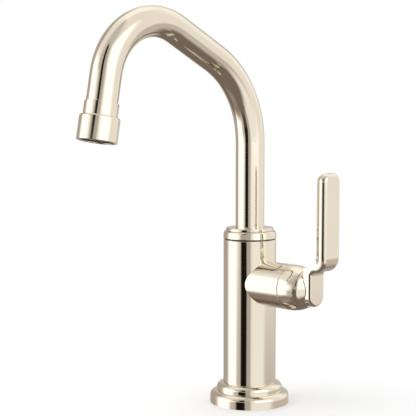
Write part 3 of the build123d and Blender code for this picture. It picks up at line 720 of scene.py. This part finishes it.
black_rubber = make_moulded("black_rubber", colour=(0.020, 0.020, 0.021, 1.0),
                            dust=(0.060, 0.058, 0.056, 1.0), roughness=0.62,
                            grain_scale=2200.0, bump_strength=0.5)
white_plastic = make_moulded("white_plastic", colour=(0.84, 0.84, 0.81, 1.0),
                             dust=(0.74, 0.73, 0.70, 1.0), roughness=0.38,
                             grain_scale=2600.0, bump_strength=0.2)
black_plastic = make_moulded("black_plastic", colour=(0.024, 0.024, 0.025, 1.0),
                             dust=(0.045, 0.044, 0.043, 1.0), roughness=0.40,
                             grain_scale=2600.0, bump_strength=0.2)
grey_plastic = make_moulded("grey_plastic", colour=(0.13, 0.13, 0.135, 1.0),
                            dust=(0.20, 0.20, 0.19, 1.0), roughness=0.42,
                            grain_scale=2600.0, bump_strength=0.25)
ceramic = make_moulded("ceramic", colour=(0.88, 0.86, 0.82, 1.0), dust=(0.82, 0.80, 0.76, 1.0),
                       roughness=0.10, grain_scale=900.0, bump_strength=0.02)
fibre = make_moulded("fibre", colour=(0.42, 0.10, 0.065, 1.0), dust=(0.56, 0.24, 0.18, 1.0),
                     roughness=0.80, grain_scale=1200.0, bump_strength=0.6)
dress(black_rubber, "base_gasket", "rubber_washer", "spout_seals", "flow_washer", "seat_seal",
      "spindle_seals")
dress(white_plastic, "tube_bush")
dress(black_plastic, "thrust_washer", "glide_ring")
dress(grey_plastic, "flow_insert")
dress(ceramic, "fixed_disc", "moving_disc")
dress(fibre, "headwork_gasket")

# %% [markdown]
# The filter in the nozzle is a disc of woven stainless wire. Its wires are a tenth of
# a millimetre thick, far too fine for a mesh, so the weave is a bump, and its holes get
# painted shade: near black, for the shaded inside of the nozzle seen through them. It
# lies square to the nozzle, which leans out from the column.

# %% Woven filter screen
outlet = next(mount for mount in frame["record"]["mounts"] if mount["name"] == "nozzle_outlet")
nozzle_axis = Vector(outlet["axis"])
weave_across = Vector((1.0, 0.0, 0.0))
weave_along = nozzle_axis.cross(weave_across)
# Painted shade: the holes are coloured near black for the shaded inside of the nozzle seen through
# them.
painted_hole_shade = (0.02, 0.02, 0.02, 1.0)
wire_roughness = 0.25
wire_variation = 0.1
wire_bump = 0.8
wire_depth = 0.0001


def make_screen():
    """Stainless wire woven across the nozzle, with painted shade in its holes."""
    material, tree, surface = new_finish("stainless_screen", metallic=1.0)
    weave = place_group(tree, woven_wire, Across=weave_across, Along=weave_along)
    wear = place_group(tree, smudges, Roughness=wire_roughness, Variation=wire_variation,
                       Scale=patch_scale, Tint=steel_tint, Dull_Tint=steel_dull_tint)
    # The holes get the painted shade colour.
    colour = mix_colours(tree, weave["Holes"], wear["Color"], painted_hole_shade)
    feed_surface(tree, surface, colour, wear["Roughness"], weave["Height"], wire_bump, wire_depth)
    return material


dress(make_screen(), "flow_screen")

# %% [markdown]
# The shank and the inlet fitting carry threads, and a thread shows in the outline, so
# a bump on a smooth rod wouldn't do. They are cut as a machinist cuts them, with a
# die. The outline of one tooth is swept round the axis, which gives a threaded rod. A
# block without that rod is a die, and a copy of the CAD piece without the die keeps
# its own bore, chamfers and hexagon, and gains the thread. First comes a way to pick
# points by their place, as a modeller would with a box selection.

# %% Select points by their place
def select_points(piece, test):
    """Selects the points of a piece whose place passes the test, and leaves it in edit mode."""
    bpy.ops.object.mode_set(mode="EDIT")
    bpy.ops.mesh.select_mode(type="VERT")
    shape = bmesh.from_edit_mesh(piece.data)
    for point in shape.verts:
        point.select = test(point.co)
    shape.select_flush_mode()
    bmesh.update_edit_mesh(piece.data)


print("point selection ready")

# %% [markdown]
# The rod starts as one side of a plane, a standing edge as tall as the pitch. It is
# cut into short pieces, and the points away from the tooth's middle are pushed in
# twice, which leaves a crest, two flanks and a root. The Screw modifier then sweeps
# that outline up and round. A helix with a bevelled profile would twist the tooth,
# while the sweep keeps it level at every turn.

# %% Sweep a threaded rod
tooth_cuts = 7
tooth_shoulders = (0.2, 0.3)  # shares of the pitch, counted from the tooth's middle
sweep_steps = 64
spare_turns = 2
sweep_merge = 0.000001


def make_threaded_rod(radius, depth, pitch, bottom, top):
    """A closed rod with a thread, round the upright axis."""
    tooth_middle = bottom - pitch / 2
    bpy.ops.object.select_all(action="DESELECT")
    bpy.ops.mesh.primitive_plane_add(size=pitch, location=(radius + pitch / 2, 0.0, tooth_middle),
                                     rotation=(math.pi / 2, 0.0, 0.0))
    rod = bpy.context.object
    bpy.ops.object.transform_apply(location=True, rotation=True, scale=True)
    select_points(rod, lambda place: place.x > radius + pitch / 2)
    bpy.ops.mesh.delete(type="VERT")
    bpy.ops.mesh.select_all(action="SELECT")
    bpy.ops.mesh.subdivide(number_cuts=tooth_cuts)
    for shoulder in tooth_shoulders:
        select_points(rod, lambda place: abs(place.z - tooth_middle) > shoulder * pitch)
        bpy.ops.transform.translate(value=(-depth / 2, 0.0, 0.0))
    bpy.ops.object.mode_set(mode="OBJECT")
    sweep = rod.modifiers.new("thread", "SCREW")
    sweep.axis = "Z"
    sweep.angle = math.tau
    sweep.screw_offset = pitch
    sweep.iterations = math.ceil((top - bottom) / pitch) + spare_turns
    sweep.steps = sweep_steps
    sweep.render_steps = sweep_steps
    bpy.ops.object.modifier_apply(modifier=sweep.name)
    bpy.ops.object.mode_set(mode="EDIT")
    bpy.ops.mesh.select_all(action="SELECT")
    bpy.ops.mesh.remove_doubles(threshold=sweep_merge)
    for height, is_bottom in ((bottom, True), (top, False)):
        bpy.ops.mesh.select_all(action="SELECT")
        bpy.ops.mesh.bisect(plane_co=(0.0, 0.0, height), plane_no=(0.0, 0.0, 1.0), use_fill=True,
                            clear_inner=is_bottom, clear_outer=not is_bottom)
    bpy.ops.mesh.select_all(action="SELECT")
    bpy.ops.mesh.normals_make_consistent(inside=False)
    bpy.ops.object.mode_set(mode="OBJECT")
    return rod


print("threaded rod ready")

# %% [markdown]
# Both cuts, the rod out of the block and the die out of the piece, are the Boolean
# modifier's difference. Its exact solver is slower than the fast one, but it can deal
# with the many thin faces of a thread. It leaves a few triangles lying back to back
# there, which enclose nothing.

# %% Cut a thread on a copy of a piece
thread_margin = 0.001
die_sides = 48
die_width = 1.4
copy_merge = 0.0000005
crease_angle = math.radians(20.0)


def take_away(piece, tool):
    """Takes a tool's shape out of a piece and deletes the tool."""
    bpy.ops.object.select_all(action="DESELECT")
    bpy.context.view_layer.objects.active = piece
    cut = piece.modifiers.new("cut", "BOOLEAN")
    cut.operation = "DIFFERENCE"
    cut.solver = "EXACT"
    cut.object = tool
    bpy.ops.object.modifier_apply(modifier=cut.name)
    bpy.data.objects.remove(tool)


def make_die(radius, depth, pitch, bottom, top):
    """A round block with a threaded hole right through it."""
    rod = make_threaded_rod(radius, depth, pitch, bottom - 2 * thread_margin, top + thread_margin)
    bpy.ops.object.select_all(action="DESELECT")
    block_bottom = bottom - thread_margin
    bpy.ops.mesh.primitive_cylinder_add(vertices=die_sides, radius=radius * die_width,
                                        depth=top - block_bottom,
                                        location=(0.0, 0.0, (top + block_bottom) / 2))
    die = bpy.context.object
    bpy.ops.object.transform_apply(location=True, rotation=True, scale=True)
    take_away(die, rod)
    return die


def cut_thread(name, replaced, radius, depth, pitch, bottom, top):
    """A copy of a CAD piece with a thread on its lower end."""
    die = make_die(radius, depth, pitch, bottom, top)
    piece = bpy.data.objects.new(name, nodes[replaced].data.copy())
    bpy.context.collection.objects.link(piece)
    bpy.context.view_layer.objects.active = piece
    bpy.ops.object.mode_set(mode="EDIT")
    bpy.ops.mesh.select_all(action="SELECT")
    bpy.ops.mesh.remove_doubles(threshold=copy_merge)
    bpy.ops.object.mode_set(mode="OBJECT")
    take_away(piece, die)
    piece.select_set(True)
    bpy.ops.object.shade_smooth_by_angle(angle=crease_angle)
    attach(piece, "root")
    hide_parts(replaced)
    for material_slot in piece.material_slots:
        material_slot.material = upright_brass
    print(name, "has", sum(len(face.vertices) - 2 for face in piece.data.polygons), "triangles")


print("thread cutting ready")

# %% [markdown]
# The shank's thread is coarse, because it takes the lock nut, and runs from its lower
# end to just above the deck. The inlet fitting's is finer and shorter, and ends below
# its hexagon. One size could serve both, but a fine thread would look wrong on so wide
# a shank. Each rod is a few hundredths of a millimetre wider than the CAD piece, so the
# crests keep the piece's own smooth surface.

# %% The shank's and the inlet's threads
cut_thread("threaded_shank", "mounting_shank", radius=0.01594, depth=0.0009, pitch=0.0018,
           bottom=-0.062, top=0.001)
cut_thread("threaded_inlet", "inlet_fitting", radius=0.00716, depth=0.0006, pitch=0.0011,
           bottom=-0.085, top=-0.0756)
